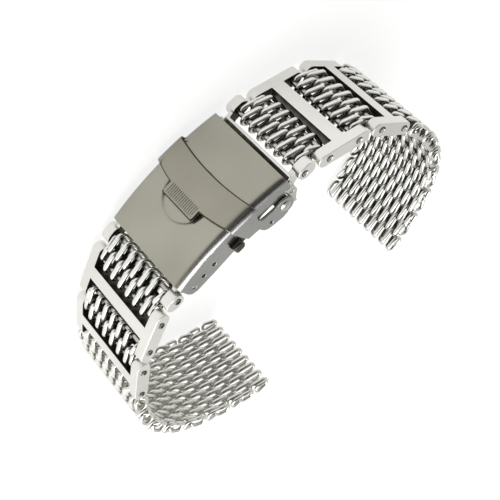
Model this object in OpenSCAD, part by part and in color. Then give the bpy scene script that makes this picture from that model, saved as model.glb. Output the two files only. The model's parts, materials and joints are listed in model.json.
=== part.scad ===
// Milanese mesh bracelet, closed into a loop and lying on its side edge.
// X runs from the folding end of the clasp to the adjusting end, Y from the
// clasp towards the two open mesh ends, Z across the width of the band.
// The origin is at the middle of the footprint, on the surface it lies on.

/* [Band] */
// Width of the band over the frame rails
band_w = 22; // [20:0.5:24]
// Thickness of the frames
frame_t = 3; // [2.8:0.1:3.2]
// Width of one frame rail
rail_w = 2.25; // [2:0.05:2.6]
// Width of the crossbar of an H frame
crossbar_w = 2.9; // [2.4:0.1:3.4]
// Distance between the two pins of an H frame
frame_pitch = 7.04; // [6.6:0.1:8]
// Gap between the rail ends of two frames, beside a window
rail_gap = 0.7; // [0.5:0.05:1.5]
// Rail length past the pin on the strap side
strap_reach = 1.6; // [1.5:0.05:1.7]
// Radius of the cross pins
pin_r = 0.6; // [0.45:0.05:0.65]

/* [Mesh] */
// Side of the wire's section
wire_t = 0.84; // [0.7:0.02:0.86]
// Radius of a bend at the middle of the wire
bend_r = 1.2; // [1.16:0.02:1.3]
// Straight run of a row between its bend centres
row_straight = 2.45; // [2.3:0.05:2.6]
// Distance from one row to the next
row_pitch = 3.45; // [3.35:0.05:3.6]
// Bends that a full row has on its wider side
full_bends = 9; // [7:1:9]
// Rows in the strap half on the adjusting side
left_rows = 15; // [10:1:15]
// Rows in the strap half on the folding side
right_rows = 14; // [9:1:15]

/* [Clasp] */
// Radius of the cover's arched outer face
arch_r = 57; // [50:1:70]
// Length of the cover along the band
cover_len = 27.6; // [27.4:0.1:28]
// How much narrower the cover is than the band
cover_inset = 0.2; // [0.1:0.05:0.6]
// Thickness of the cover's sheet and walls
cover_t = 1; // [0.8:0.05:1.1]
// Radius of the cover's rolled long edges
roll_r = 1.6; // [1.2:0.1:2]
// Thickness of the safety flap
flap_t = 0.6; // [0.5:0.05:0.8]
// Width of the flap's thumb tab
tab_w = 9.3; // [7:0.1:11]
// Thickness of the two folding blades
blade_t = 0.8; // [0.6:0.05:0.9]
// Gap between the edge of a folding blade and a button that is pushed in
blade_gap = 0.3; // [0.2:0.05:1.5]
// Radius of the adjusting holes
hole_r = 0.46; // [0.44:0.01:0.5]
// How far a button stands out past the cover's wall
button_out = 1.2; // [0.9:0.1:1.4]
// Free travel of a button
button_travel = 0.5; // [0.3:0.1:0.6]

/* [Shape of the loop] */
// Tilt of the end frame on the adjusting side
left_tilt = 9; // [4:1:14]
// Tilt of the end frame on the folding side
right_tilt = 3; // [0:1:8]

/* [Hidden] */
$fn = 48;
run_gap = 0.04;
fit_gap = 0.02;
wall_gap = 0.05;
// Heading of each link before the strap: two rows, a frame, two rows, a frame
heads = [[17, 22, 35, 41, 45, 52], [24, 30, 26, 32, 42, 57]];
// Heading of the strap rows, by row number
curls = [
    [[0, 56], [3, 75], [6, 101], [9, 128], [12, 145], [15, 152]],
    [[0, 63], [3, 83], [6, 109], [9, 136], [12, 155], [15, 166]]
];
rows = [left_rows, right_rows];
side_name = ["left", "right"];

// Mesh
bend_count = round(full_bends);
turn_pitch = (band_w + 0.2 - wire_t) / (bend_count - 0.5);
window_w = band_w - 2 * rail_w;
window_bends = floor((window_w - wire_t - 0.2) / turn_pitch + 0.5);
half_link = (row_straight + row_pitch) / 2;
window_reach = half_link - rail_gap / 2;
row_half_t = bend_r + wire_t / 2;
drift_share = 0.8;

// Clasp, seen from its side: x along the band, y towards the wrist
arch_y = arch_r - 1.7;
function on_arc(r, x) = [x, arch_y - sqrt(r * r - x * x)];
cover_in_r = arch_r - cover_t;
cover_w = band_w - cover_inset;
cover_e = cover_len / 2;
wall_in = cover_w / 2 - cover_t;
wall_depth = 5.5;
button_in = wall_in - 2 * wall_gap;
neck_depth = 0.5;
flange_t = 1.1;
blade_w = 2 * (button_in - neck_depth - button_travel - blade_gap);
blade_depth = 5.4;
blade_step = 1.2;
mid_r = arch_r - blade_depth;
low_r = mid_r - blade_t - blade_step;
knuckle_r = 1.2;
fold_pin = on_arc(mid_r - 0.7, 3.3 - cover_e);
mid_pin = on_arc(mid_r - blade_t - blade_step / 2, cover_e - 5.9);
bar_r = 0.7;
barrel_r = 1.4;
left_bar = on_arc(arch_r - blade_depth + 1.2, cover_e - 2.2);
right_bar = on_arc(arch_r - blade_depth + 0.8, 0.6 - cover_e);
free_holes = [on_arc(arch_r - blade_depth + 1, left_bar[0] - 5.55), on_arc(arch_r - blade_depth + 1.1, left_bar[0] - 2.69)];
flap_in_r = arch_r + wall_gap;
flap_out_r = flap_in_r + flap_t;
cheek_in = cover_w / 2 + wall_gap;
cheek_out = cheek_in + flap_t;
head_out = cheek_out + 0.4;
half_h = max(cover_w / 2 + button_out, head_out);
ear_in = wall_in - wall_gap;
ear_out = cover_w / 2 - wall_gap;

// End frame: its barrel turns on the spring bar, its mesh pin is set off from it
bar_dx = 3.8;
bar_dy = 1.5;
neck_out = wall_in - 0.15;

// Chain of links on each side. Side 0 is the adjusting side, side 1 the folding side.
function side_sign(s) = s == 0 ? 1 : -1;
function along(s, h) = [side_sign(s) * cos(h), sin(h)];
function tilt(s) = s == 0 ? left_tilt : right_tilt;
function bar_at(s) = s == 0 ? left_bar : right_bar;
function mesh_pin(s) = bar_at(s) + bar_dx * along(s, tilt(s)) + bar_dy * [side_sign(s) * sin(tilt(s)), -cos(tilt(s))];
function link_len(i) = i == 2 || i == 5 ? frame_pitch : (i < 7 ? half_link : row_pitch);
function heading(s, i) = i < 6 ? heads[s][i] : lookup(i - 6, curls[s]);
function joint_at(s, i) = i == 0 ? mesh_pin(s) : joint_at(s, i - 1) + link_len(i - 1) * along(s, heading(s, i - 1));
function starts_at_pin(i) = i == 0 || i == 3 || i == 6;
function centre_off(i) = starts_at_pin(i) ? row_straight / 2 : row_pitch / 2;
function row_centre(s, i) = joint_at(s, i) + centre_off(i) * along(s, heading(s, i));
function last_link(s) = 5 + rows[s];

// Footprint of the loop, which places the origin
function reach_x(s, i) = side_sign(s) * row_centre(s, i)[0] + row_straight / 2 * abs(cos(heading(s, i))) + row_half_t;
function reach_y(s, i) = row_centre(s, i)[1] + row_straight / 2 * sin(heading(s, i)) + row_half_t;
max_x = max([for (i = [6:last_link(0)]) reach_x(0, i)]);
min_x = -max([for (i = [6:last_link(1)]) reach_x(1, i)]);
max_y = max([for (s = [0:1]) reach_y(s, last_link(s))]);
min_y = arch_y - flap_out_r;
shift = [-(max_x + min_x) / 2, -(max_y + min_y) / 2, half_h];

// Node names
function two(n) = n < 10 ? str("0", n) : str(n);
function row_name(s, k) = str(side_name[s], "_strap_row_", two(k + 1));
function window_name(s, k) = str(side_name[s], "_window_row_", k + 1);

// Places a link's own frame: x along the link, z across the band
module at_link(s, i) {
    p = joint_at(s, i);
    h = heading(s, i);
    translate([p[0], p[1], 0] + shift)
        rotate([0, 0, s == 0 ? h : 180 - h])
            children();
}

module at_side(p) {
    translate([p[0], p[1], 0] + shift) children();
}

// Wire of a mesh row. A bend has four ring centres on a half hexagon, and all
// the sideways travel of the coil is in its bends, so the straight runs are square
// to the row. Neighbouring rows share their bends' places across the band.
bend_x = [0, 1, 1, 0];
bend_y = [1, tan(30), -tan(30), -1];
bend_w = [-1, -drift_share, drift_share, 1];
function bend_side(i, n, mid) = mid * ((i - (n - 1) / 2) % 2 == 0 ? 1 : -1);
function bend_point(i, n, q, mid) =
    let (sd = bend_side(i, n, mid), w = ((i - (n - 1) / 2) * 2 + bend_w[q]) * turn_pitch / 4)
    [sd * (row_straight / 2 + bend_r * bend_x[q]), sd * bend_r * bend_y[q], w];
function wire_path(n, mid) = let (first = bend_side(0, n, mid)) [
    [-first * row_straight * 0.45, first * bend_r, -n * turn_pitch / 4],
    for (i = [0:n - 1]) for (q = [0:3]) bend_point(i, n, q, mid),
    [-first * row_straight * 0.45, -first * bend_r, n * turn_pitch / 4]
];
function flat_unit(v) = [v[0], v[1]] / norm([v[0], v[1]]);
function normal(a, b) = let (t = flat_unit(b - a)) [t[1], -t[0]];
function mitre(path, i) =
    let (e = len(path) - 1, n1 = normal(path[max(i - 1, 0)], path[max(i, 1)]), n2 = normal(path[min(i, e - 1)], path[min(i + 1, e)]))
    (n1 + n2) / (1 + n1 * n2);
function ring(path, i) = let (m = mitre(path, i) * wire_t / 2, p = path[i]) [
    for (k = [[1, 1], [1, -1], [-1, -1], [-1, 1]])
        [p[0] + m[0] * k[0], p[1] + m[1] * k[0], p[2] + k[1] * wire_t / 2]
];

// Row of mesh: n bends in all, an odd number, the middle one on side mid (1 or -1)
module mesh_row(n, mid) {
    path = wire_path(n, mid);
    e = len(path) - 1;
    pts = [for (i = [0:e]) each ring(path, i)];
    skin = [
        for (i = [0:e - 1]) for (j = [0:3]) let (a = 4 * i + j, b = 4 * i + (j + 1) % 4) each [[a, b + 4, b], [a, a + 4, b + 4]]
    ];
    ends = [[0, 1, 2], [0, 2, 3], [4 * e, 4 * e + 2, 4 * e + 1], [4 * e, 4 * e + 3, 4 * e + 2]];
    polyhedron(pts, concat(skin, ends));
}

// Strap rows alternate so that the bends at the open end are the wider set
module strap_row(s, k) {
    mid = (rows[s] - 1 - k) % 2 == 0 ? 1 : -1;
    bends = k == 0 ? window_bends : bend_count;
    color("gainsboro")
        at_link(s, k + 6)
            translate([centre_off(k + 6), 0, 0])
                mesh_row(2 * bends - 1, mid);
}

// Window rows stand in pairs between the rails of two frames
module window_row(s, k) {
    i = [0, 1, 3, 4][k];
    color("gainsboro")
        at_link(s, i)
            translate([centre_off(i), 0, 0])
                mesh_row(2 * window_bends - 1, k % 2 == 0 ? 1 : -1);
}

// Side outline of a rail with round ends
module rail_outline(x0, x1) {
    r = frame_t / 2;
    translate([x0 + r, -r]) square([x1 - x0 - 2 * r, frame_t]);
    translate([x0 + r, 0]) circle(r = r);
    translate([x1 - r, 0]) circle(r = r);
}

module both_sides(z0, z1) {
    for (m = [0, 1]) mirror([0, 0, m]) translate([0, 0, z0]) linear_extrude(z1 - z0) children();
}

module across(z) {
    translate([0, 0, -z]) linear_extrude(2 * z) children();
}

// H frame with pins at x = 0 and x = frame_pitch
module h_frame(s, i, far_reach) {
    color("whitesmoke")
        at_link(s, i)
            difference() {
                union() {
                    both_sides(band_w / 2 - rail_w, band_w / 2) rail_outline(-window_reach, frame_pitch + far_reach);
                    across(band_w / 2 - 0.5) translate([(frame_pitch - crossbar_w) / 2, -frame_t / 2]) square([crossbar_w, frame_t]);
                }
                for (x = [0, frame_pitch]) translate([x, 0, -band_w]) cylinder(r = pin_r + fit_gap, h = 2 * band_w);
            }
}

// End frame, with its mesh pin at the origin and its barrel on the spring bar
module end_frame(s) {
    web_x = row_half_t / cos(30) + 0.1;
    color("whitesmoke")
        at_side(mesh_pin(s))
            mirror([s, 0, 0])
                rotate([0, 0, tilt(s)])
                    difference() {
                        union() {
                            both_sides(band_w / 2 - rail_w, band_w / 2) rail_outline(-1.45, window_reach);
                            both_sides(band_w / 2 - rail_w, neck_out) neck_outline();
                            across(neck_out) translate([-bar_dx, bar_dy]) circle(r = barrel_r);
                            across(neck_out) web_outline(web_x);
                        }
                        translate([0, 0, -band_w]) cylinder(r = pin_r + fit_gap, h = 2 * band_w);
                        translate([-bar_dx, bar_dy, -band_w]) cylinder(r = bar_r + run_gap, h = 2 * band_w);
                    }
}

module neck_outline() {
    polygon([[-bar_dx, bar_dy + 1.3], [-bar_dx - 0.6, bar_dy - 1.2], [-1.6, -0.9], [0.2, -1.1], [0.2, 1.2], [-1.4, 1.4]]);
}

module web_outline(far) {
    polygon([[-bar_dx, bar_dy + 1.3], [-bar_dx - 0.6, bar_dy - 1.2], [-far - 0.5, -0.7], [-far, -0.6], [-far, 1.4]]);
}

// Cross pins are split at their ends
module split_pin(x) {
    difference() {
        translate([x, 0, -band_w / 2 + 0.03]) cylinder(r = pin_r, h = band_w - 0.06);
        for (m = [0, 1]) mirror([0, 0, m]) translate([x - 0.08, -1, band_w / 2 - 1.2]) cube([0.16, 2, 2]);
    }
}

module frame_pins(s, i) {
    color("silver")
        at_link(s, i) {
            split_pin(0);
            split_pin(frame_pitch);
        }
}

module end_frame_pin(s) {
    color("silver") at_link(s, 0) split_pin(0);
}

// Part of a ring round the arch's centre, extruded across the band
module arc_band(r0, r1, x0, x1) {
    intersection() {
        difference() {
            translate([0, arch_y]) circle(r = r1, $fn = 360);
            translate([0, arch_y]) circle(r = r0, $fn = 360);
        }
        translate([x0, arch_y - 2 * arch_r]) square([x1 - x0, 2 * arch_r]);
    }
}

// Section of a shell with rolled edges, turned round the arch's centre
module rolled_shell(r_out, w_out, r_in, w_in, roll_out, roll_in, depth) {
    translate([0, arch_y, 0])
        rotate([0, 0, -120])
            rotate_extrude(angle = 60, $fn = 360)
                difference() {
                    rolled_section(r_out, w_out, roll_out, r_out - depth);
                    rolled_section(r_in, w_in, roll_in, r_out - depth - 1);
                }
}

module rolled_section(r, w, roll, r_low) {
    translate([r_low, -w]) square([r - roll - r_low, 2 * w]);
    translate([r_low, roll - w]) square([r - r_low, 2 * (w - roll)]);
    for (m = [-1, 1]) translate([r - roll, m * (w - roll)]) circle(r = roll);
}

// Side outline of the cover: deep walls at the adjusting end, shallow ones at
// the folding end, and a lug round the fold pin
module cover_side() {
    e = cover_e;
    p = fold_pin;
    d = wall_depth;
    b = button_x0;
    polygon([
        [-e, -4], [-e, 1.3], [-e + 0.4, d - 2.6], [-e + 0.6, d - 2.5], [p[0] - 1.5, d - 2.5], p - [1.5, 0], p - [1.2, -0.9],
        p - [0.6, -1.37], p + [0.6, 1.37], p + [1.2, 0.9], p + [1.5, 0], [p[0] + 1.5, d - 2.5], [b - 3.7, d - 2.5],
        [b - 2.3, d - 2.1], [b - 0.8, d - 0.9], [b + 0.2, d - 0.6], [button_x1 + 0.5, d - 0.6], [e - 6.9, d - 0.2], [e - 2, d],
        [e - 0.9, d - 0.4], [e - 0.4, d - 1.3], [e - 0.14, 2.3], [e, 1.3], [e, -4]
    ]);
}

button_x0 = -2.6;
button_x1 = 1.8;
button_y0 = 2.4;
button_y1 = 4.8;
step_x = -0.6;
flange_y1 = on_arc(mid_r, 0)[1] - 0.2;
shell_depth = 2 * wall_depth + 3;
scallop_depth = 0.45;
tab_z = -0.45;

module clasp_cover() {
    color("lightgray")
        translate(shift)
            difference() {
                intersection() {
                    rolled_shell(arch_r, cover_w / 2, cover_in_r, wall_in, roll_r, roll_r - cover_t + 0.3, shell_depth);
                    across(cover_w) cover_side();
                }
                // finger scallop round the thumb tab
                intersection() {
                    across(cover_w) arc_band(arch_r - scallop_depth, arch_r + 2, -6, 12);
                    translate([0.6, 0, tab_z]) rotate([90, 0, 0]) cylinder(r = tab_w / 2 + 1, h = 8, center = true);
                }
                for (p = [left_bar, free_holes[0], free_holes[1]])
                    translate([p[0], p[1], -cover_w]) cylinder(r = hole_r, h = 2 * cover_w);
                translate([fold_pin[0], fold_pin[1], -cover_w]) cylinder(r = pin_r + run_gap, h = 2 * cover_w);
                // slots for the push buttons
                across(cover_w) translate([button_x0 - wall_gap, button_y0 - wall_gap]) square([button_x1 - button_x0 + 2 * wall_gap, 4]);
            }
}

// Outline of the flap's band from above: both edges bow towards the adjusting end
module flap_plan() {
    w = cheek_out;
    r0 = (w * w + 1.2 * 1.2) / 2.4;
    r1 = (w * w + 1.8 * 1.8) / 3.6;
    difference() {
        union() {
            intersection() {
                translate([1.5 - r1, 0]) circle(r = r1, $fn = 180);
                translate([-7, -w]) square([12, 2 * w]);
            }
            translate([-3, tab_z - tab_w / 2]) square([6.5, tab_w]);
        }
        translate([-5.2 - r0, 0]) circle(r = r0, $fn = 180);
    }
}

// Side outline of the flap's cheek and arm
module flap_side() {
    polygon([
        [-6, -0.6], [-5.7, 0.7], [-5.2, 2.2], [-5.6, 3.1], [-6.6, 3.4], [-8.6, 3.65], fold_pin + [0.2, -2], fold_pin + [0.2, 2.3],
        [-8.75, 8], [-6.4, 7.5], [-5.2, 7.1], [-4.5, 6.3], [-4.1, 4.9], [-1.5, 4.5], [-0.8, 2.2], [-0.5, 0.7], [-0.4, -0.6]
    ]);
    translate(fold_pin) circle(r = 2.05);
}

module safety_flap() {
    color("lightgray")
        translate(shift)
            difference() {
                intersection() {
                    rolled_shell(flap_out_r, cheek_out, flap_in_r, cheek_in, roll_r + 0.4, roll_r - 0.1, shell_depth);
                    union() {
                        translate([0, 0.5, 0]) rotate([90, 0, 0]) linear_extrude(8) flap_plan();
                        both_sides(cover_w / 2 - 2.5, cheek_out + 1) flap_side();
                    }
                }
                translate([fold_pin[0], fold_pin[1], -cover_w]) cylinder(r = pin_r + run_gap, h = 2 * cover_w);
                for (m = [-1, 1]) translate([-6.6, 6.1, m * cheek_out - 1]) cylinder(r = 0.35, h = 2);
            }
}

// Middle folding blade: a curved plate from the fold pin to the mid pin
module middle_blade() {
    wb = blade_w / 2;
    ks = wb / 2 - 0.2;
    color("silver")
        translate(shift)
            difference() {
                union() {
                    across(wb) arc_band(mid_r - blade_t, mid_r, fold_pin[0], mid_pin[0] - 1.7);
                    across(wb) translate(fold_pin) circle(r = knuckle_r - 0.1);
                    both_sides(ks, wb) arc_band(mid_r - blade_t, mid_r, mid_pin[0] - 2, mid_pin[0]);
                    both_sides(ks, wb) translate(mid_pin) circle(r = knuckle_r);
                }
                for (p = [fold_pin, mid_pin])
                    translate([p[0], p[1], -cover_w]) cylinder(r = pin_r + fit_gap, h = 2 * cover_w);
            }
}

// Bottom blade: from the mid pin back under the fold pin to two ears
module bottom_blade() {
    wb = blade_w / 2;
    ks = wb / 2 - 0.3;
    ear_x = right_bar[0] + 1.05;
    color("silver")
        translate(shift)
            difference() {
                union() {
                    across(wb) arc_band(low_r - blade_t, low_r, ear_x - 0.75, mid_pin[0] - 1.7);
                    across(ks) arc_band(low_r - blade_t, low_r, mid_pin[0] - 2, mid_pin[0]);
                    across(ks) translate(mid_pin) circle(r = knuckle_r);
                    across(ear_out) arc_band(low_r - blade_t, low_r, ear_x - 0.75, ear_x);
                    both_sides(ear_in, ear_out) ear_outline(ear_x);
                }
                translate([right_bar[0], right_bar[1], -cover_w]) cylinder(r = hole_r, h = 2 * cover_w);
                translate([mid_pin[0], mid_pin[1], -cover_w]) cylinder(r = pin_r + run_gap, h = 2 * cover_w);
            }
}

module ear_outline(x) {
    y0 = right_bar[1] - 1.45;
    y1 = on_arc(low_r - blade_t / 2, x)[1];
    polygon([
        [x, y0], [x - 2.1, y0], [x - 2.15, y0 + 2.25], [x - 1.5, y0 + 3.1], [x - 0.74, y1], [x, y1]
    ]);
}

// Fold pin with domed rivet heads, and the mid pin
module blade_hinge_pins() {
    color("silver") {
        at_side(fold_pin) {
            translate([0, 0, -cheek_out - 0.1]) cylinder(r = pin_r, h = 2 * cheek_out + 0.2);
            for (m = [0, 1]) mirror([0, 0, m]) translate([0, 0, cheek_out + wall_gap]) rivet_head();
        }
        at_side(mid_pin) translate([0, 0, -blade_w / 2]) cylinder(r = pin_r, h = blade_w);
    }
}

module rivet_head() {
    h = head_out - cheek_out - wall_gap;
    rotate_extrude()
        intersection() {
            translate([0, h - 2.2]) circle(r = 2.2);
            square([1.2, h]);
        }
}

// Push button: a flange behind the wall, a neck in its slot and a raised end
module push_button(m) {
    z_in = button_in;
    color("dimgray")
        translate(shift)
            mirror([0, 0, m]) {
                translate([0, 0, z_in - flange_t])
                    linear_extrude(flange_t) translate([button_x0 - 0.3, 0.6]) square([button_x1 - button_x0 + 0.6, flange_y1 - 0.6]);
                translate([0, 0, z_in - neck_depth])
                    linear_extrude(cover_w / 2 - z_in + neck_depth - 0.02)
                        translate([button_x0, button_y0]) square([button_x1 - button_x0, button_y1 - button_y0]);
                translate([0, 0, z_in])
                    linear_extrude(cover_w / 2 + button_out - z_in)
                        translate([step_x, button_y0]) square([button_x1 - step_x, button_y1 - button_y0]);
            }
}

spring_at = on_arc(arch_r - 3, -0.4);
guide_w = wall_in - 2.5;
pocket_in = guide_w - 2.4;

// Guide block under the cover, with a pocket for each button spring
module button_guide() {
    color("gray")
        translate(shift)
            difference() {
                across(guide_w) arc_band(mid_r + 0.7, cover_in_r - 0.03, button_x0 - 0.6, button_x1 + 0.6);
                for (m = [0, 1]) mirror([0, 0, m]) translate([spring_at[0], spring_at[1], pocket_in]) cylinder(r = 0.75, h = 8);
            }
}

module button_springs() {
    z0 = pocket_in + wall_gap;
    z1 = button_in - flange_t - button_travel - 0.1;
    color("silver")
        at_side(spring_at)
            for (m = [0, 1]) mirror([0, 0, m])
                translate([0, 0, z0])
                    difference() {
                        cylinder(r = 0.65, h = z1 - z0);
                        translate([0, 0, 0.3]) cylinder(r = 0.35, h = 8);
                    }
}

// Spring bar with two shoulders and thin tips
module spring_bar(p, w, tip) {
    color("silver")
        at_side(p) {
            translate([0, 0, -w]) cylinder(r = bar_r, h = 2 * w);
            translate([0, 0, -tip]) cylinder(r = hole_r - run_gap, h = 2 * tip);
        }
}

clasp_cover();
safety_flap();
middle_blade();
bottom_blade();
blade_hinge_pins();
push_button(0);  // left_push_button
push_button(1);  // right_push_button
button_springs();
button_guide();
spring_bar(left_bar, wall_in - 0.1, cover_w / 2 - 0.1);  // adjusting_spring_bar
spring_bar(right_bar, ear_in - 0.05, ear_out - 0.1);  // folding_spring_bar
end_frame(0);  // left_end_frame
h_frame(0, 2, window_reach);  // left_near_frame
h_frame(0, 5, strap_reach);  // left_far_frame
end_frame(1);  // right_end_frame
h_frame(1, 2, window_reach);  // right_near_frame
h_frame(1, 5, strap_reach);  // right_far_frame
end_frame_pin(0);  // left_end_frame_pin
frame_pins(0, 2);  // left_near_frame_pins
frame_pins(0, 5);  // left_far_frame_pins
end_frame_pin(1);  // right_end_frame_pin
frame_pins(1, 2);  // right_near_frame_pins
frame_pins(1, 5);  // right_far_frame_pins
for (s = [0:1]) for (k = [0:3]) window_row(s, k);
for (s = [0:1]) for (k = [0:rows[s] - 1]) strap_row(s, k);
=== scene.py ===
import json
import math

import bmesh
import bpy
from mathutils import Matrix, Vector


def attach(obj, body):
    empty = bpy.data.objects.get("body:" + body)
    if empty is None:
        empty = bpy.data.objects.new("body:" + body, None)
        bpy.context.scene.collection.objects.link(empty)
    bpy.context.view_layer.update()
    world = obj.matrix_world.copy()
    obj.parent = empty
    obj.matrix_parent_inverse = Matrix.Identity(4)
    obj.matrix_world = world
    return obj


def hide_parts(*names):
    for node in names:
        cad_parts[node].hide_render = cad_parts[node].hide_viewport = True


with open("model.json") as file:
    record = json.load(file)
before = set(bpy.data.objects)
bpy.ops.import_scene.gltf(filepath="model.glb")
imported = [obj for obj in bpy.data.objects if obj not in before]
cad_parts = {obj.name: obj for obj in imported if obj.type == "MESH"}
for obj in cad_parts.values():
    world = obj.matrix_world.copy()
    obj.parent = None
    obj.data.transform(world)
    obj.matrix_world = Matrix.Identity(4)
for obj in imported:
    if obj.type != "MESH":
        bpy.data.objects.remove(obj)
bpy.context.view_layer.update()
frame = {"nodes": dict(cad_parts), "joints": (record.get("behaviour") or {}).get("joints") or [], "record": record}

MM = 0.001
joints = frame["joints"]
mounts = {m["name"]: m for m in frame["record"]["mounts"]}

# The loop has coordinates of its own, in millimetres: x along the clasp, y inwards from just
# under its crown, z across the band. This is where their zero lies in the frame.
SHIFT = Vector((-0.189718, -29.555, 12.1))


def place(x, y, z):
    """A point of the loop as a point of the frame in metres."""
    return (Vector((x, y, z)) + SHIFT) * MM


def loop_spot(point):
    """A point of the frame as a point of the loop in millimetres."""
    return point / MM - SHIFT


# ---------------------------------------------------------------- materials

def linear(hex_colour):
    """An sRGB hex colour as linear red, green, blue and alpha."""
    parts = [int(hex_colour[i:i + 2], 16) / 255 for i in (1, 3, 5)]
    return [c / 12.92 if c <= 0.04045 else ((c + 0.055) / 1.055) ** 2.4 for c in parts] + [1.0]


def add(tree, kind, settings=None, **links):
    """Adds a node: settings are its properties or input values, links its linked inputs,
    where in0, in1 and so on are inputs by number."""
    node = tree.nodes.new(kind)
    for key, value in (settings or {}).items():
        if isinstance(key, int) or key in node.inputs:
            node.inputs[key].default_value = value
        else:
            setattr(node, key, value)
    for key, source in links.items():
        numbered = key.startswith("in") and key[2:].isdigit()
        tree.links.new(source, node.inputs[int(key[2:]) if numbered else key.replace("_", " ")])
    return node


def ramp(tree, source, stops):
    """A colour ramp over stops of (position, hex colour)."""
    node = add(tree, "ShaderNodeValToRGB", in0=source)
    node.color_ramp.elements.remove(node.color_ramp.elements[1])
    node.color_ramp.elements[0].position = stops[0][0]
    node.color_ramp.elements[0].color = linear(stops[0][1])
    for position, colour in stops[1:]:
        node.color_ramp.elements.new(position).color = linear(colour)
    return node


def bare_metal(name):
    """A new metal material, its node tree and its shader."""
    material = bpy.data.materials.new(name)
    material.use_nodes = True
    tree = material.node_tree
    shader = tree.nodes["Principled BSDF"]
    shader.inputs["Metallic"].default_value = 1.0
    return material, tree, shader


def finish_metal(tree, shader, colour, roughness, bump):
    """Links a finish's colour, roughness and relief to the shader."""
    tree.links.new(colour.outputs["Color"], shader.inputs["Base Color"])
    tree.links.new(roughness.outputs["Result"], shader.inputs["Roughness"])
    tree.links.new(bump.outputs["Normal"], shader.inputs["Normal"])


def steel(name, dark, light, rough, grain, relief):
    """Stainless steel: grain is (x, y, z) sizes in mm of its polishing marks, and relief their
    height in mm. The colour lies between dark and light with a cloudy drift 14 mm across."""
    material, tree, shader = bare_metal(name)
    where = add(tree, "ShaderNodeTexCoord").outputs["Object"]
    stretched = add(tree, "ShaderNodeMapping", {"Scale": [1 / (g * MM) for g in grain]}, Vector=where)
    marks = add(
        tree, "ShaderNodeTexNoise", {"Scale": 1.0, "Detail": 4.0, "Roughness": 0.6},
        Vector=stretched.outputs[0]).outputs["Fac"]
    cloud = add(tree, "ShaderNodeTexNoise", {"Scale": 1 / (14 * MM), "Detail": 1.0}, Vector=where)
    blend = add(
        tree, "ShaderNodeMath", {"operation": "MULTIPLY_ADD", 1: 0.6}, in0=marks, in2=cloud.outputs["Fac"])
    colour = ramp(tree, blend.outputs[0], [(0.4, dark), (1.2, light)])
    roughness = add(
        tree, "ShaderNodeMapRange",
        {"From Min": 0.3, "From Max": 0.7, "To Min": rough[0], "To Max": rough[1]}, Value=marks)
    bump = add(tree, "ShaderNodeBump", {"Strength": 0.5, "Distance": relief * MM}, Height=marks)
    finish_metal(tree, shader, colour, roughness, bump)
    return material


def wire_steel():
    """Drawn steel wire of a mesh that is ground flat after weaving. Its point attribute is 1 on the ground crests,
    which are fine satin like the frames, about 0.5 on the polished flanks and lower in the depth between the
    wires, where the colour is painted shade, dark and dull."""
    material, tree, shader = bare_metal("ground_wire_steel")
    ground = add(tree, "ShaderNodeAttribute", {"attribute_name": "ground"}).outputs["Fac"]
    where = add(tree, "ShaderNodeTexCoord").outputs["Object"]
    # drawing marks and grit, 0.25 mm across
    marks = add(
        tree, "ShaderNodeTexNoise", {"Scale": 1 / (0.25 * MM), "Detail": 3.0}, Vector=where).outputs["Fac"]
    drift = add(tree, "ShaderNodeMath", {"operation": "MULTIPLY_ADD", 1: 0.16, 2: -0.08}, in0=marks)
    level = add(
        tree, "ShaderNodeMath", {"operation": "ADD", "use_clamp": True},
        in0=ground, in1=drift.outputs[0]).outputs[0]
    # painted shade: the ramp runs from near black deep between the wires to satin on the crests
    colour = ramp(tree, level, [
        (0.0, "#1f1e1b"), (0.25, "#403f3b"), (0.45, "#8d8c86"), (0.62, "#d4d3cd"), (1.0, "#eae9e4")])
    roughness = add(
        tree, "ShaderNodeMapRange",
        {"From Min": 0.7, "From Max": 1.0, "To Min": 0.22, "To Max": 0.34}, Value=level)
    bump = add(tree, "ShaderNodeBump", {"Strength": 0.4, "Distance": 0.004 * MM}, Height=marks)
    finish_metal(tree, shader, colour, roughness, bump)
    return material


# Satin brushed clasp: long fine marks along the band give it a soft even grey
CLASP_SATIN = steel("satin_brushed_steel", "#959287", "#a9a69b", (0.32, 0.42), (6, 0.25, 0.09), 0.004)
# The safety flap has the same marks and is a little darker, so it stands out from the cover
FLAP_SATIN = steel("satin_brushed_flap_steel", "#8a877b", "#9f9c90", (0.32, 0.42), (6, 0.25, 0.09), 0.004)
# Buffed side walls of the clasp: smoother and a little bluer
CLASP_WALL = steel("buffed_steel", "#989896", "#acacaa", (0.20, 0.28), (1.2, 0.4, 0.4), 0.003)
# Frames: fine satin steel, nearly white under soft light
FRAME_SATIN = steel("fine_satin_steel", "#d2d1cb", "#e6e5e0", (0.28, 0.38), (0.15, 0.5, 1.2), 0.004)
# Mesh wires: bright on their ground crests, with painted shade between them
WIRE = wire_steel()
# Turned pins and bars
PIN = steel("turned_pin_steel", "#a4a39e", "#bcbbb6", (0.18, 0.28), (0.3, 0.3, 0.12), 0.004)
# Stamped folding blades
BLADE = steel("stamped_blade_steel", "#bab9b3", "#d0cfc9", (0.24, 0.34), (3.0, 0.3, 0.12), 0.005)
# Walls inside the frames that face the mesh, and crescents at their pin holes: dark dull steel as painted shade
FRAME_SHADE = steel("as_cut_steel", "#302e2a", "#45433e", (0.32, 0.45), (0.3, 0.3, 0.15), 0.006)
# Edges of the safety flap: a thin line of painted shade round the satin face, where the gap to the cover lies
FLAP_EDGE_SHADE = steel("sheared_steel", "#2f2d28", "#48463f", (0.30, 0.42), (0.3, 0.3, 0.15), 0.006)
# Push buttons: polished steel painted dark, as a painted dark reflection
BUTTON_DARK_REFLECTION = steel("dark_polished_steel", "#35322c", "#4b473f", (0.24, 0.34), (0.4, 0.4, 0.4), 0.003)


# ---------------------------------------------------------------- pieces

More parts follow.
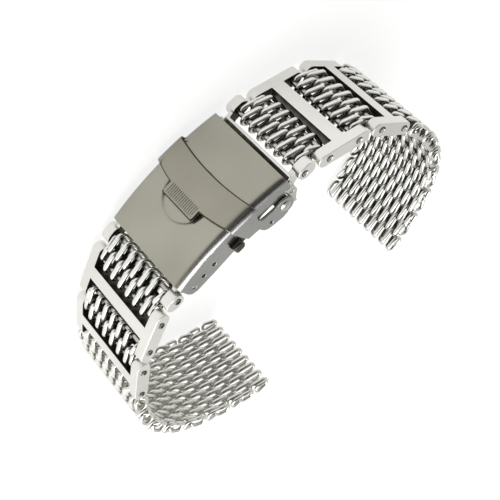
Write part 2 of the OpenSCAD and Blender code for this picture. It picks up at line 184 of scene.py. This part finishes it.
def piece(name, mesh, materials, body, slot, *nodes):
    """Puts a finished mesh in the scene, riding on a body in place of CAD nodes."""
    made = bpy.data.objects.new(name, mesh)
    bpy.context.scene.collection.objects.link(made)
    for material in materials:
        mesh.materials.append(material)
    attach(made, body)
    if nodes:
        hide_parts(*nodes)
    return made


def tube(name, paths, radius, rounding=3):
    """A mesh of round wires along paths of points. A point's fourth value scales the radius."""
    curve = bpy.data.curves.new(name, "CURVE")
    curve.dimensions = "3D"
    curve.bevel_depth = radius
    curve.bevel_resolution = rounding
    curve.use_fill_caps = True
    for points in paths:
        spline = curve.splines.new("POLY")
        spline.points.add(len(points) - 1)
        for target, point in zip(spline.points, points):
            target.co = (*point[:3], 1.0)
            target.radius = point[3] if len(point) > 3 else 1.0
    holder = bpy.data.objects.new(name + "_line", curve)
    bpy.context.scene.collection.objects.link(holder)
    bpy.context.view_layer.update()
    mesh = bpy.data.meshes.new_from_object(holder.evaluated_get(bpy.context.evaluated_depsgraph_get()))
    bpy.data.objects.remove(holder)
    mesh.name = name
    mesh.shade_smooth()
    return mesh


# ---------------------------------------------------------------- mesh of coiled wires

# The coils and their wire, in millimetres
TURN = 21.36 / 8.5      # one full turn of a coil, across the band
STRAIGHT = 2.45         # straight strand between two bends
BEND = 1.2              # radius of a bend, to the middle of the wire
STRAND_R = 0.52         # radius of the wire on its strands
BEND_R = 0.41           # radius of the wire where the next row hooks in
CREST = 1.55            # height of the ground crests over the middle of the mesh
SLANT = 0.85            # share of the travel across the band that one side's bends take
LEAN = 0.05             # travel across the band that is left to each strand
EDGE = 0.6              # reach of a row's last strand past its last bend
EYE_MIDDLE = 0.45       # where the bend of an edge's eye has its middle, from the row's own
EYE_BEND = 0.75         # and how far it reaches on from there
STEPS = 9               # straight parts of a bend
ROW_PITCH = 3.45        # from a row's middle to the next row's
WIDE_BENDS, NARROW_BENDS = 17, 13

# How bright the wire is by place: 1 is ground steel and 0 the painted shade between the wires; flanks and unground
# crests are painted lighter the further out they stand
FLANK = 0.55            # flanks of the strands
OUTER_CREST = 0.45      # what the ground crests of the outer face have on top of it
INNER_CREST = 0.15      # and the crests of the inner face
# the painted shade lifts on these wires, which no row shades
UNSHADED_WIRE = 0.66        # wires at the edges of the band and where a row has no neighbour
NOWHERE = 9.0           # an x that no wire reaches, for a row with neighbours on both sides


class Side:
    """One half of the band: where each link starts and which way it runs, and how light the painted shade
    in the wires' depth stays, on the strap and in the windows."""

    def __init__(self, name, dull_strap, dull_window):
        self.name = name
        self.dull_strap, self.dull_window = dull_strap, dull_window
        # the sign of a link's own y on the outer face of the band
        self.outward = -1 if name == "left" else 1
        # the first hinge swings the end frame, and each one after it starts a link
        chain = [j for j in joints if j["name"].startswith(name + "_") and j["type"] == "hinge"][1:]
        self.bodies = [j["child"] for j in chain]
        self.strap = [b for b in self.bodies if "_strap_row_" in b]
        self.points = [Vector(j["pos_m"]) for j in chain]
        self.points.append(Vector(mounts[name + "_watch_end_loops"]["pos_m"]))

    def matrix(self, i):
        """Frame of link i: x along the link, z across the band."""
        x = (self.points[i + 1] - self.points[i]).normalized()
        z = Vector((0, 0, 1))
        y = z.cross(x)
        return Matrix.Translation(self.points[i]) @ Matrix((x, y, z)).transposed().to_4x4()


# each side has its own limits of the painted shade, on the strap and then in the windows
SIDES = [Side("left", 0.6, 0.14), Side("right", 0.26, 0.32)]


def coil_path(count, middle, slanted):
    """Points (x, y, z, radius share) of one row's wire about the row's own middle. count
    bends, the middle one on side middle. The bends on side slanted take nearly all the
    travel across the band, so that the strands of the two faces lie behind each other."""
    points = []
    half = (count - 1) // 2
    for i in range(count):
        side = middle * (-1) ** (i - half)
        reach = (SLANT if side == slanted else 1 - SLANT) * TURN / 2 - LEAN
        for step in range(STEPS + 1):
            t = 2 * step / STEPS - 1
            angle = math.pi / 2 * t
            outermost = (i == 0 and t < 0) or (i == count - 1 and t > 0)
            share = math.copysign(1 - (1 - abs(t)) ** 4, t)
            points.append((
                side * (STRAIGHT / 2 + BEND * math.cos(angle)),
                -side * BEND * math.sin(angle),
                (i - half) * TURN / 2 + share * (min(reach, EDGE) if outermost else reach),
                (BEND_R + (STRAND_R - BEND_R) * t * t) / STRAND_R))
    side = middle * (-1) ** half
    last = half * TURN / 2
    first_eye = ring_end(points[0][1], side, -1, last)
    last_eye = ring_end(points[-1][1], side, 1, last)
    return first_eye[::-1] + points + last_eye


def ring_end(y, side, way, last):
    """The strand runs back, bends round and returns on the other face to its own last bend,
    which closes the edge of the band with an eye."""
    end = []
    for turn in range(0, 181, 30):
        a = math.radians(turn)
        end.append((
            -side * (EYE_MIDDLE + EYE_BEND * math.sin(a)), y * math.cos(a), way * (last + EDGE)))
    for turn in range(90, 10, -25):
        a = math.radians(turn)
        end.append((
            side * (STRAIGHT / 2 + BEND * math.cos(a)), -y * math.sin(a),
            way * (last + EDGE * (0.25 + turn / 120))))
    # the wire's end lies beside its last bend, so it is drawn a little thinner there
    return [(*point, 0.96 * BEND_R / STRAND_R) for point in end]


def smooth_step(low, high, value):
    """Rises softly from 0 at low to 1 at high."""
    t = min(max((value - low) / (high - low), 0.0), 1.0)
    return t * t * (3 - 2 * t)


def grind(mesh, matrix, outward, half_width, free_from, shade_limit):
    """Grinds the crests of a row flat on its outer face, and stores how bright each place is: ground crests, and
    painted shade that darkens the wire deeper in, lifts at the band's edges and never goes below the given limit.
    Past free_from, an x in the row's own millimetres, the row has no neighbour and the painted shade lifts there
    too."""
    back = matrix.inverted()
    ground = mesh.attributes.new("ground", "FLOAT", "POINT")
    for vertex, level in zip(mesh.vertices, ground.data):
        spot = back @ vertex.co
        height = abs(spot.y)
        outer = spot.y * outward > 0
        edge = smooth_step(half_width - 0.3, half_width + 0.6, abs(spot.z))
        past = math.copysign(1, free_from) * spot.x - abs(free_from)
        free = smooth_step(0.0, 0.9, past)
        flank = FLANK * smooth_step(0.5, 1.15, height)
        crest = (OUTER_CREST if outer else INNER_CREST) * smooth_step(1.35, 1.5, height)
        # painted shade: the deeper the wire the darker, except at the band's edges and past free_from
        level.value = max(flank + crest, UNSHADED_WIRE * max(edge, free), shade_limit)
        if height > CREST and outer:
            spot.y = math.copysign(CREST, spot.y)
            vertex.co = matrix @ spot


def build_row(side, i, body):
    """A mesh row as one coiled wire. The side's link i is the row."""
    number = int(body.split("_")[-1])
    on_strap = body in side.strap
    count = WIDE_BENDS if on_strap and number > 1 else NARROW_BENDS
    # rows take turns, from the open end on the strap and from the clasp in the windows
    in_turn = (len(side.strap) - number) % 2 == 0 if on_strap else number % 2 == 1
    # the first row of a window or of the strap hangs on a pin, the others on the row before
    on_pin = i in (0, 3, 6)
    offset = (STRAIGHT if on_pin else ROW_PITCH) / 2
    matrix = side.matrix(i) @ Matrix.Translation((offset * MM, 0, 0)) @ Matrix.Scale(MM, 4)
    path = [
        (*(matrix @ Vector(point[:3])), point[3])
        for point in coil_path(count, 1 if in_turn else -1, side.outward)]
    mesh = tube(body, [path], STRAND_R * MM)
    # the last strap row is free past 1.0, and the row at the clasp before -1.2; its painted shade lifts there
    free_from = 1.0 if body == side.strap[-1] else -1.2 if i == 0 else NOWHERE
    shade_limit = side.dull_strap if on_strap else side.dull_window
    grind(mesh, matrix, side.outward, (count - 1) / 4 * TURN, free_from, shade_limit)
    piece(body + "_coil", mesh, [WIRE], body, "wire_steel", body)


def build_rows():
    for side in SIDES:
        for i, body in enumerate(side.bodies):
            if "_row_" in body:
                build_row(side, i, body)


build_rows()


# ---------------------------------------------------------------- plates, frames and pins

# Clasp, in the loop's millimetres: the axis of its arch, and the finger scallop in its cover
ARCH_AXIS_Y = 55.3
SCOOP_X, SCOOP_Z, SCOOP_R = 0.6, -0.45, 5.65
# Frames: distance of their two pins, and where their outer faces lie across the band
PIN_PITCH = 7.04
RAIL_FACE = 10.99
# Angles between faces: below the first they are one face, above the second an edge is eased,
# and above the third an edge that is left stays sharp
FLAT, EASED, SHARP = math.radians(0.4), math.radians(32), math.radians(50)


def from_axis(spot):
    """Distance of a loop point from the axis of the clasp's arch."""
    return math.hypot(spot.x, spot.y - ARCH_AXIS_Y)


def from_scoop(spot):
    """Distance of a loop point from the middle of the finger scallop, along the cover."""
    return math.hypot(spot.x - SCOOP_X, spot.z - SCOOP_Z)


def dressed(node, body, slot, materials, ease, pick=None, rims=(), weld=0.03, reshape=None):
    """A clean copy of a CAD node with its sharp edges eased. pick tells from a face's
    middle (metres) and its normal which of the materials it takes. rims are (test of an
    edge's middle as a loop point, easing, segments, material) for edges with a rounding of
    their own. weld is the size of the slivers that are closed first, and reshape then works
    on the copy. Lengths are in millimetres."""
    bm = bmesh.new()
    bm.from_mesh(frame["nodes"][node].data)
    bmesh.ops.remove_doubles(bm, verts=bm.verts, dist=weld * MM)
    bmesh.ops.dissolve_limit(bm, angle_limit=FLAT, verts=bm.verts, edges=bm.edges)
    if reshape:
        reshape(bm)
    for face in bm.faces:
        face.material_index = pick(face.calc_center_median(), face.normal) if pick else 0
        face.smooth = True
    for test, offset, segments, material in (*rims, (lambda middle: True, ease, 2, -1)):
        eased = [
            e for e in bm.edges if len(e.link_faces) == 2 and e.calc_face_angle(0.0) > EASED
            and test(loop_spot((e.verts[0].co + e.verts[1].co) / 2))]
        bmesh.ops.bevel(
            bm, geom=eased, offset=offset * MM, segments=segments, profile=0.5, affect="EDGES",
            clamp_overlap=False, material=material)
    for edge in bm.edges:
        edge.smooth = len(edge.link_faces) != 2 or edge.calc_face_angle(0.0) < SHARP
    mesh = bpy.data.meshes.new(node + "_dressed")
    bm.to_mesh(mesh)
    bm.free()
    made = piece(node + "_dressed", mesh, materials, body, slot, node)
    made.modifiers.new("even_faces", "WEIGHTED_NORMAL").keep_sharp = True


def cover_finish(middle, normal):
    """Satin on top, buffed side walls."""
    return 1 if abs(normal.z) > 0.7 else 0


def flap_finish(middle, normal):
    """As the cover, with painted shade on the edge walls of the band."""
    spot = loop_spot(middle)
    if abs(spot.z) < 11.0 and abs(normal.x) > 0.5 and spot.y < 0.0:
        return 2
    return cover_finish(middle, normal)


def on_flap_rim(spot):
    """Outer edges of the band and its thumb tab, as far as the rolled edges."""
    return spot.y < 0.6 and abs(spot.z) < 10.9 and from_axis(spot) > 57.5


def slope_scoop(bm):
    """Draws the foot of the wall round the finger scallop inwards, so that the wall becomes
    a slope that runs in as one soft wave."""
    spots = [(v, loop_spot(v.co)) for v in bm.verts]
    foot = [
        v for v, spot in spots
        if abs(from_scoop(spot) - SCOOP_R) < 0.1 and 56.4 < from_axis(spot) < 56.8]
    middle = place(SCOOP_X, 0.0, SCOOP_Z)
    bmesh.ops.translate(bm, vec=-middle, verts=foot)
    bmesh.ops.scale(bm, vec=(0.885, 1.0, 0.885), verts=foot)
    bmesh.ops.translate(bm, vec=middle, verts=foot)


def on_scoop_slope(spot):
    """Both edges of that slope."""
    return 4.7 < from_scoop(spot) < 5.75 and 56.3 < from_axis(spot) < 57.1


def on_button_shoulder(spot):
    """Edges of a push button a little outside the wall."""
    return 11.2 < abs(spot.z) < 11.95


def on_button_cap(spot):
    """Edges of its end."""
    return abs(spot.z) > 12.0


def window_finish(matrix):
    """Frames: satin outside, with painted shade on the walls that face the mesh."""
    back = matrix.inverted()
    turn = back.to_3x3()

    def pick(middle, normal):
        spot = back @ middle / MM
        by_mesh = abs(spot.z) < 8.8 and spot.x > -1.6
        return 1 if by_mesh and abs((turn @ normal).y) < 0.6 else 0
    return pick


def build_clasp():
    dressed(
        "clasp_cover", "clasp", "clasp_satin", [CLASP_SATIN, CLASP_WALL], 0.1, cover_finish,
        [(on_scoop_slope, 0.32, 3, -1)], reshape=slope_scoop)
    # the flap's edge walls and rounded rims take the painted shade of its edges
    dressed(
        "safety_flap", "safety_flap", "clasp_satin", [FLAP_SATIN, CLASP_WALL, FLAP_EDGE_SHADE], 0.18, flap_finish,
        [(on_flap_rim, 0.23, 2, 2)], weld=0.06)
    dressed("middle_blade", "middle_blade", "blade_steel", [BLADE], 0.1)
    dressed("bottom_blade", "bottom_blade", "blade_steel", [BLADE], 0.1)
    dressed("blade_hinge_pins", "middle_blade", "pin_steel", [PIN], 0.05)
    for side in ("left", "right"):
        dressed(
            side + "_push_button", side + "_button", "button_dark", [BUTTON_DARK_REFLECTION], 0.1,
            rims=[(on_button_shoulder, 0.9, 4, -1), (on_button_cap, 0.55, 4, -1)])
    dressed("adjusting_spring_bar", "clasp", "pin_steel", [PIN], 0.08)
    dressed("folding_spring_bar", "bottom_blade", "pin_steel", [PIN], 0.08)
    for node, material in (("button_springs", PIN), ("button_guide", BLADE)):
        data = frame["nodes"][node].data
        data.materials.clear()
        data.materials.append(material)


def build_thumb_ribs():
    """Fine ribs along the band on the flap's thumb tab."""
    ribs, pitch = 16, 0.5
    x, radius = 1.88, 57.64
    bm = bmesh.new()
    for k in range(ribs):
        rib = bmesh.ops.create_cube(bm, size=1.0)["verts"]
        bmesh.ops.scale(bm, vec=(2.35 * MM, 0.22 * MM, 0.26 * MM), verts=rib)
        bmesh.ops.rotate(
            bm, cent=(0, 0, 0), matrix=Matrix.Rotation(math.asin(x / radius), 3, "Z"), verts=rib)
        y = ARCH_AXIS_Y - math.sqrt(radius * radius - x * x)
        z = SCOOP_Z + (k - (ribs - 1) / 2) * pitch
        bmesh.ops.translate(bm, vec=place(x, y, z), verts=rib)
    bmesh.ops.bevel(
        bm, geom=bm.edges[:], offset=0.07 * MM, segments=2, profile=0.5, affect="EDGES",
        clamp_overlap=True, material=-1)
    mesh = bpy.data.meshes.new("thumb_ribs")
    bm.to_mesh(mesh)
    bm.free()
    mesh.shade_smooth()
    piece("thumb_ribs", mesh, [FLAP_SATIN], "safety_flap", "clasp_satin")


def build_frames():
    for side in SIDES:
        for kind, i in (("_end_frame", 0), ("_near_frame", 2), ("_far_frame", 5)):
            body = side.name + kind
            matrix = side.matrix(i)
            single = kind == "_end_frame"
            dressed(body, body, "frame_steel", [FRAME_SATIN, FRAME_SHADE], 0.12, window_finish(matrix))
            dressed(body + ("_pin" if single else "_pins"), body, "pin_steel", [PIN], 0.05)
            build_pin_shade_crescents(body, matrix, (0.0,) if single else (0.0, PIN_PITCH))


def build_pin_shade_crescents(body, matrix, pins):
    """A dark crescent of painted shade on one side of each pin's end, round the rim of its hole."""
    radius, thickness = 0.66, 0.14
    # the crescent covers only part of the rim, the side where shade falls
    crescent = [math.radians(20 + 26 * k) for k in range(9)]
    arc = [(radius * math.cos(a), radius * math.sin(a)) for a in crescent]
    paths = [
        [matrix @ (Vector((pin + x, y, face)) * MM) for x, y in arc]
        for pin in pins for face in (-RAIL_FACE, RAIL_FACE)]
    mesh = tube(body + "_pin_rims", paths, thickness * MM, 1)
    piece(body + "_pin_rims", mesh, [FRAME_SHADE], body, "pin_steel")


build_clasp()
build_thumb_ribs()
build_frames()


# ---------------------------------------------------------------- floor, light, camera

def build_floor():
    """White floor that keeps a soft shadow. For the camera and in reflections it glows, and
    the light that it throws on the object is that of plain matt paint."""
    bm = bmesh.new()
    bmesh.ops.create_grid(bm, x_segments=1, y_segments=1, size=3.0)
    mesh = bpy.data.meshes.new("floor")
    bm.to_mesh(mesh)
    bm.free()
    floor = bpy.data.objects.new("floor", mesh)
    bpy.context.scene.collection.objects.link(floor)

    material = bpy.data.materials.new("matt_white_floor")
    material.use_nodes = True
    tree = material.node_tree
    tree.nodes.remove(tree.nodes["Principled BSDF"])
    ray = add(tree, "ShaderNodeLightPath").outputs
    seen = add(
        tree, "ShaderNodeMath", {"operation": "ADD"}, in0=ray["Is Camera Ray"], in1=ray["Is Glossy Ray"])
    seen = add(
        tree, "ShaderNodeMath", {"operation": "ADD", "use_clamp": True},
        in0=seen.outputs[0], in1=ray["Is Transmission Ray"])
    plain = add(tree, "ShaderNodeBsdfDiffuse", {"Color": linear("#e6e6e4")})
    pale = add(tree, "ShaderNodeBsdfDiffuse", {"Color": linear("#8c8c8a")})
    glow = add(tree, "ShaderNodeEmission", {"Color": (1, 1, 1, 1), "Strength": 0.82})
    both = add(tree, "ShaderNodeAddShader", in0=pale.outputs[0], in1=glow.outputs[0])
    mixed = add(
        tree, "ShaderNodeMixShader", in0=seen.outputs[0], in1=plain.outputs[0], in2=both.outputs[0])
    tree.links.new(mixed.outputs[0], tree.nodes["Material Output"].inputs["Surface"])
    mesh.materials.append(material)


def build_dome():
    """A studio dome with a white horizon, dark behind the camera and up to its left."""
    world = bpy.data.worlds.new("studio")
    bpy.context.scene.world = world
    world.use_nodes = True
    tree = world.node_tree
    way = add(tree, "ShaderNodeTexCoord").outputs["Generated"]
    # the dark room is a soft-edged patch about this direction
    toward = Vector((-0.27, -0.70, 0.66)).normalized()
    near = add(tree, "ShaderNodeVectorMath", {"operation": "DOT_PRODUCT", 1: toward}, in0=way)
    dome = ramp(tree, near.outputs["Value"], [
        (0.0, "#dcdcda"), (0.5, "#d0d0ce"), (0.78, "#5a5a5c"), (1.0, "#2c2c2e")])
    # the horizon is white all round, so that no view shows where the floor ends
    height = add(tree, "ShaderNodeSeparateXYZ", in0=way).outputs["Z"]
    low = add(
        tree, "ShaderNodeMapRange",
        {"From Min": 0.15, "From Max": 0.35, "To Min": 1.0, "To Max": 0.0}, Value=height)
    sky = add(
        tree, "ShaderNodeMix", {"data_type": "RGBA", 7: (1.0, 1.0, 1.0, 1.0)},
        in0=low.outputs["Result"], in6=dome.outputs["Color"])
    background = tree.nodes["Background"]
    tree.links.new(sky.outputs[2], background.inputs["Color"])
    background.inputs["Strength"].default_value = 1.0


def build_lamps():
    """Two soft boxes over the band and on its right. Places and sizes in metres, power in watts."""
    target = Vector((0, 0, 0.01))
    for name, spot, size, power in (
            ("overhead_softbox", (0.26, 0.08, 0.48), 0.5, 2.4),
            ("side_softbox", (0.5, -0.05, 0.35), 0.35, 1.0)):
        lamp = bpy.data.lights.new(name, "AREA")
        lamp.size = size
        lamp.energy = power
        holder = bpy.data.objects.new(name, lamp)
        bpy.context.scene.collection.objects.link(holder)
        holder.location = spot
        holder.rotation_euler = (target - Vector(spot)).to_track_quat("-Z", "Y").to_euler()


def build_camera():
    """The camera of the photograph, found from its points: 961 pixels of focal length at 500."""
    data = bpy.data.cameras.new("camera")
    data.sensor_width = 36.0
    data.lens = 961 / 500 * data.sensor_width
    data.clip_start = 0.01
    camera = bpy.data.objects.new("camera", data)
    bpy.context.scene.collection.objects.link(camera)
    right = Vector((-0.70069, 0.37429, 0.60740))
    up = Vector((-0.71163, -0.30559, -0.63261))
    back = Vector((-0.05116, -0.87551, 0.48048))
    spot = Vector((-9.398, -176.932, 108.698)) * MM
    camera.matrix_world = Matrix.Translation(spot) @ Matrix((right, up, back)).transposed().to_4x4()
    bpy.context.scene.camera = camera


build_floor()
build_dome()
build_lamps()
build_camera()
bpy.context.scene.view_settings.view_transform = "Standard"
